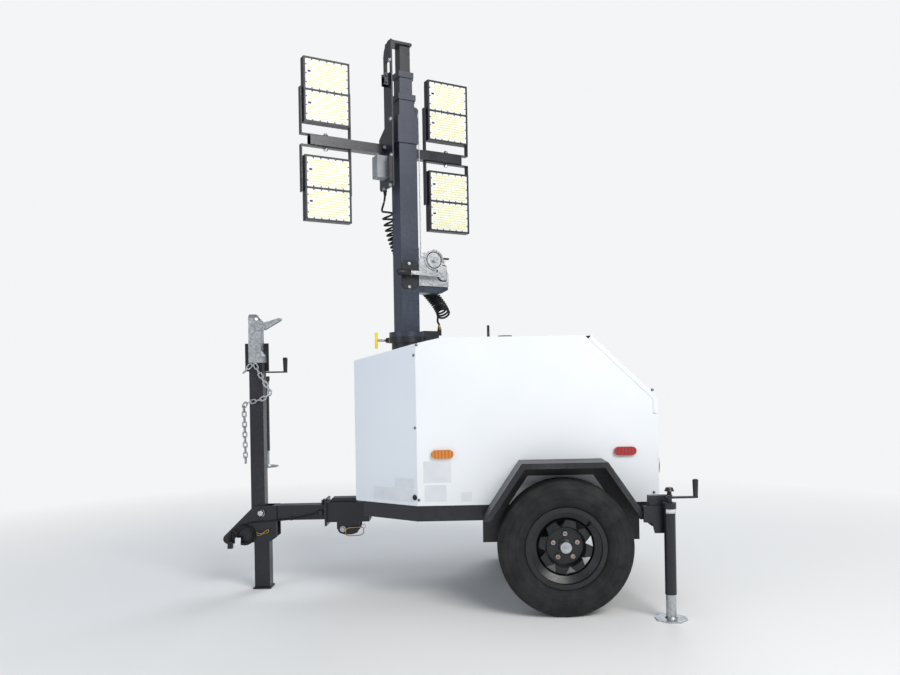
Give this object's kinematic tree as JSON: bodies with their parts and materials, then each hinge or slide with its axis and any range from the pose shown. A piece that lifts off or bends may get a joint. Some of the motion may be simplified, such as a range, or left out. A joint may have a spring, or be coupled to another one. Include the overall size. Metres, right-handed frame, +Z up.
{
  "type": "mobile light tower",
  "caption": "Towable light tower: enclosed generator trailer with fenders, folding tongue, crank jacks and a telescoping mast that carries flood lamps on a crossbar.",
  "frame": {"origin": "on the ground in the middle of the plan", "axes": "+X to the rear, +Y to the trailer's right side, +Z up"},
  "size_m": [2.2709, 1.582, 2.82],
  "materials": {
    "black_steel": "black powder coat, half gloss",
    "white_steel": "white powder coat",
    "zinc_steel": "zinc plated",
    "tyre": "black tyre rubber",
    "engine_iron": "painted casting",
    "grey_plastic": "grey box",
    "amber_plastic": "amber lens",
    "red_plastic": "red lens",
    "yellow_steel": "yellow handle",
    "black_plastic": "black moulded plastic",
    "black_rubber": "black cable jacket",
    "lamp_housing": "cast lamp housing"
  },
  "bodies": {
    "chassis": {"frame": "black_steel", "axle": "black_steel", "fender_left": "black_steel", "fender_right": "black_steel", "floor_pan": "zinc_steel", "panel_left": "white_steel", "panel_right": "white_steel", "nose_panel": "white_steel", "roof": "white_steel", "rear_panel": "white_steel", "control_panel": "white_steel", "engine_block": "engine_iron", "receiver": "black_steel", "drawbar": "black_steel", "mast_socket": "black_steel", "mast_bearing": "black_steel", "mast_pin": "yellow_steel", "marker_lamps": "amber_plastic", "rear_lamps": "red_plastic", "lifting_eye": "black_steel", "fuel_cap": "black_plastic", "tow_lead": "black_rubber", "tow_coil": "black_rubber", "tow_plug": "black_plastic"},
    "wheel_left": {"tyre_left": "tyre", "rim_left": "black_steel", "hub_left": "zinc_steel"},
    "wheel_right": {"tyre_right": "tyre", "rim_right": "black_steel", "hub_right": "zinc_steel"},
    "lid": {"control_lid": "white_steel"},
    "front_leg": {"front_leg": "black_steel"},
    "tongue": {"tongue_beam": "black_steel", "coupler": "zinc_steel", "safety_chains": "zinc_steel"},
    "tongue_jack": {"tongue_jack": "black_steel"},
    "tongue_jack_foot": {"tongue_jack_foot": "zinc_steel"},
    "mast": {"mast_outer": "black_steel", "cord_bracket": "black_steel", "winch": "zinc_steel", "curly_cord": "black_rubber"},
    "stage_2": {"mast_stage_2": "black_steel"},
    "stage_3": {"mast_stage_3": "black_steel"},
    "head": {"head_hanger": "black_steel", "crossbar": "black_steel", "junction_box": "grey_plastic"},
    "outrigger_left": {"outrigger_left": "black_steel"},
    "jack_left": {"jack_left": "black_steel"},
    "jack_foot_left": {"jack_foot_left": "zinc_steel"},
    "yoke_upper_left": {"yoke_upper_left": "black_steel"},
    "lamp_upper_left": {"lamp_upper_left": "lamp_housing"},
    "yoke_lower_left": {"yoke_lower_left": "black_steel"},
    "lamp_lower_left": {"lamp_lower_left": "lamp_housing"},
    "outrigger_right": {"outrigger_right": "black_steel"},
    "jack_right": {"jack_right": "black_steel"},
    "jack_foot_right": {"jack_foot_right": "zinc_steel"},
    "yoke_upper_right": {"yoke_upper_right": "black_steel"},
    "lamp_upper_right": {"lamp_upper_right": "lamp_housing"},
    "yoke_lower_right": {"yoke_lower_right": "black_steel"},
    "lamp_lower_right": {"lamp_lower_right": "lamp_housing"}
  },
  "joints": [
    {"name": "wheel_left_spin", "type": "hinge", "parent": "chassis", "child": "wheel_left", "pos_m": [0.552, -0.602, 0.305], "axis": [0, 1, 0], "continuous": true},
    {"name": "wheel_right_spin", "type": "hinge", "parent": "chassis", "child": "wheel_right", "pos_m": [0.552, 0.602, 0.305], "axis": [0, 1, 0], "continuous": true},
    {"name": "lid_hinge", "type": "hinge", "parent": "chassis", "child": "lid", "pos_m": [0.71, 0, 1.261], "axis": [0, -1, 0], "range_deg": [0, 95]},
    {"name": "tongue_fold", "type": "hinge", "parent": "chassis", "child": "tongue", "pos_m": [-0.95, 0, 0.394], "axis": [0, -1, 0], "range_deg": [0, 90]},
    {"name": "front_leg_fold", "type": "hinge", "parent": "chassis", "child": "front_leg", "pos_m": [-0.95, 0, 0.285], "axis": [0, -1, 0], "range_deg": [0, 90]},
    {"name": "tongue_jack_swivel", "type": "hinge", "parent": "tongue", "child": "tongue_jack", "pos_m": [-0.966, 0.12, 1.085], "axis": [0, 1, 0], "range_deg": [0, 90]},
    {"name": "tongue_jack_screw", "type": "slide", "parent": "tongue_jack", "child": "tongue_jack_foot", "axis": [0, 0, -1], "range_m": [0, 0.2]},
    {"name": "outrigger_left_slide", "type": "slide", "parent": "chassis", "child": "outrigger_left", "axis": [0, -1, 0], "range_m": [0, 0.3]},
    {"name": "jack_left_swivel", "type": "hinge", "parent": "outrigger_left", "child": "jack_left", "pos_m": [0.998, -0.69, 0.42], "axis": [0, -1, 0], "range_deg": [0, 90]},
    {"name": "jack_left_screw", "type": "slide", "parent": "jack_left", "child": "jack_foot_left", "axis": [0, 0, -1], "range_m": [-0.08, 0.2]},
    {"name": "outrigger_right_slide", "type": "slide", "parent": "chassis", "child": "outrigger_right", "axis": [0, 1, 0], "range_m": [0, 0.3]},
    {"name": "jack_right_swivel", "type": "hinge", "parent": "outrigger_right", "child": "jack_right", "pos_m": [0.998, 0.69, 0.42], "axis": [0, -1, 0], "range_deg": [0, 90]},
    {"name": "jack_right_screw", "type": "slide", "parent": "jack_right", "child": "jack_foot_right", "axis": [0, 0, -1], "range_m": [-0.08, 0.2]},
    {"name": "mast_turn", "type": "hinge", "parent": "chassis", "child": "mast", "pos_m": [-0.184, 0, 1.29], "axis": [0, 0, 1], "range_deg": [-185, 125]},
    {"name": "mast_raise", "type": "slide", "parent": "mast", "child": "head", "axis": [0, 0, 1], "range_m": [0, 4.5], "deforming": ["curly_cord"]},
    {"name": "stage_2_raise", "type": "slide", "parent": "mast", "child": "stage_2", "axis": [0, 0, 1], "range_m": [0, 1.5]},
    {"name": "stage_3_raise", "type": "slide", "parent": "mast", "child": "stage_3", "axis": [0, 0, 1], "range_m": [0, 3]},
    {"name": "yoke_upper_left_turn", "type": "hinge", "parent": "head", "child": "yoke_upper_left", "pos_m": [-0.57275, -0.12113, 2.279], "axis": [0, 0, 1], "range_deg": [-90, 90]},
    {"name": "lamp_upper_left_tilt", "type": "hinge", "parent": "yoke_upper_left", "child": "lamp_upper_left", "pos_m": [-0.57275, -0.12113, 2.524], "axis": [0.8704, 0.4924, 0], "range_deg": [-60, 90]},
    {"name": "yoke_upper_right_turn", "type": "hinge", "parent": "head", "child": "yoke_upper_right", "pos_m": [0.02954, 0.21962, 2.279], "axis": [0, 0, 1], "range_deg": [-90, 90]},
    {"name": "lamp_upper_right_tilt", "type": "hinge", "parent": "yoke_upper_right", "child": "lamp_upper_right", "pos_m": [0.02954, 0.21962, 2.524], "axis": [0.8704, 0.4924, 0], "range_deg": [-60, 90]},
    {"name": "yoke_lower_left_turn", "type": "hinge", "parent": "head", "child": "yoke_lower_left", "pos_m": [-0.57275, -0.12113, 2.279], "axis": [0, 0, 1], "range_deg": [-90, 90]},
    {"name": "lamp_lower_left_tilt", "type": "hinge", "parent": "yoke_lower_left", "child": "lamp_lower_left", "pos_m": [-0.57275, -0.12113, 2.034], "axis": [0.8704, 0.4924, 0], "range_deg": [-60, 90]},
    {"name": "yoke_lower_right_turn", "type": "hinge", "parent": "head", "child": "yoke_lower_right", "pos_m": [0.02954, 0.21962, 2.279], "axis": [0, 0, 1], "range_deg": [-90, 90]},
    {"name": "lamp_lower_right_tilt", "type": "hinge", "parent": "yoke_lower_right", "child": "lamp_lower_right", "pos_m": [0.02954, 0.21962, 2.034], "axis": [0.8704, 0.4924, 0], "range_deg": [-60, 90]}
  ],
  "couplings": [
    {"joint": "stage_2_raise", "follows": "mast_raise", "ratio": 0.33333},
    {"joint": "stage_3_raise", "follows": "mast_raise", "ratio": 0.66667}
  ]
}
